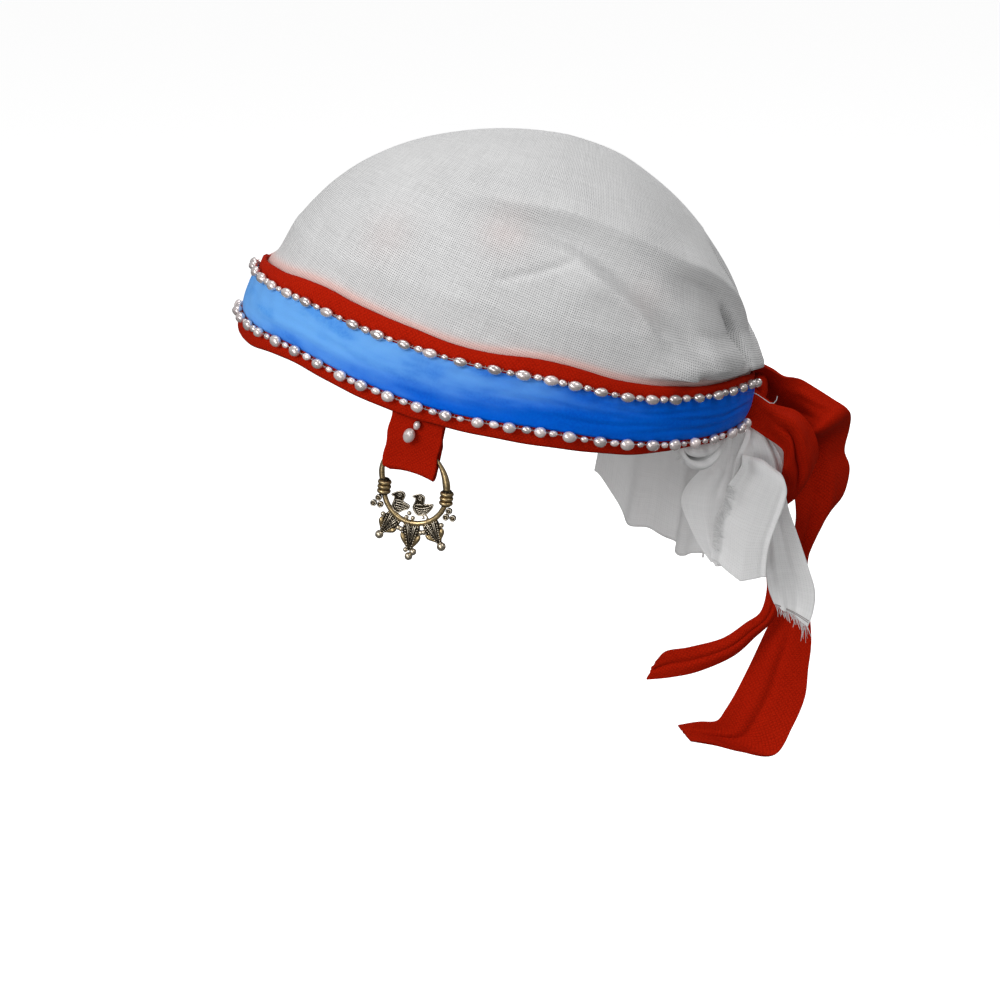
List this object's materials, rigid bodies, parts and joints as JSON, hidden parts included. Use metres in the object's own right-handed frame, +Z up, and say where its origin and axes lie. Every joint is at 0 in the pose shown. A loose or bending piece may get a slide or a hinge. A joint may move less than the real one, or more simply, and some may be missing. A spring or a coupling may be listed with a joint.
{
  "type": "pearl embroidered headband with linen kerchief",
  "caption": "Red wool headband with a blue silk strip between two rows of pearls, tied behind the head over a white linen kerchief, with a bronze temple ring on a cloth tab.",
  "frame": {"origin": "middle of the head opening, in the middle of the band's height", "axes": "+Z up on the worn headdress, the face toward -X, the wearer's left temple toward -Y, the knot toward +X"},
  "size_m": [0.2397, 0.1688, 0.2544],
  "materials": {
    "white_linen": "plain open weave, matte",
    "red_wool": "fulled plain weave, matte",
    "blue_silk": "fine weave with a soft sheen",
    "freshwater_pearl": "pearl lustre",
    "aged_bronze": "antique bronze, dark in the recesses"
  },
  "bodies": {
    "root": {"kerchief_crown": "white_linen", "kerchief_nape": "white_linen", "kerchief_ruffle": "white_linen", "kerchief_flap": "white_linen", "kerchief_fold": "white_linen", "kerchief_tail": "white_linen", "wool_band": "red_wool", "silk_strip": "blue_silk", "pearl_string_lower": "freshwater_pearl", "pearl_string_upper": "freshwater_pearl", "tie_knot": "red_wool", "tie_wide": "red_wool", "tie_narrow": "red_wool", "ring_tab": "red_wool", "tab_pearl_large": "freshwater_pearl", "tab_pearl_small": "freshwater_pearl", "temple_ring": "aged_bronze"}
  },
  "joints": []
}
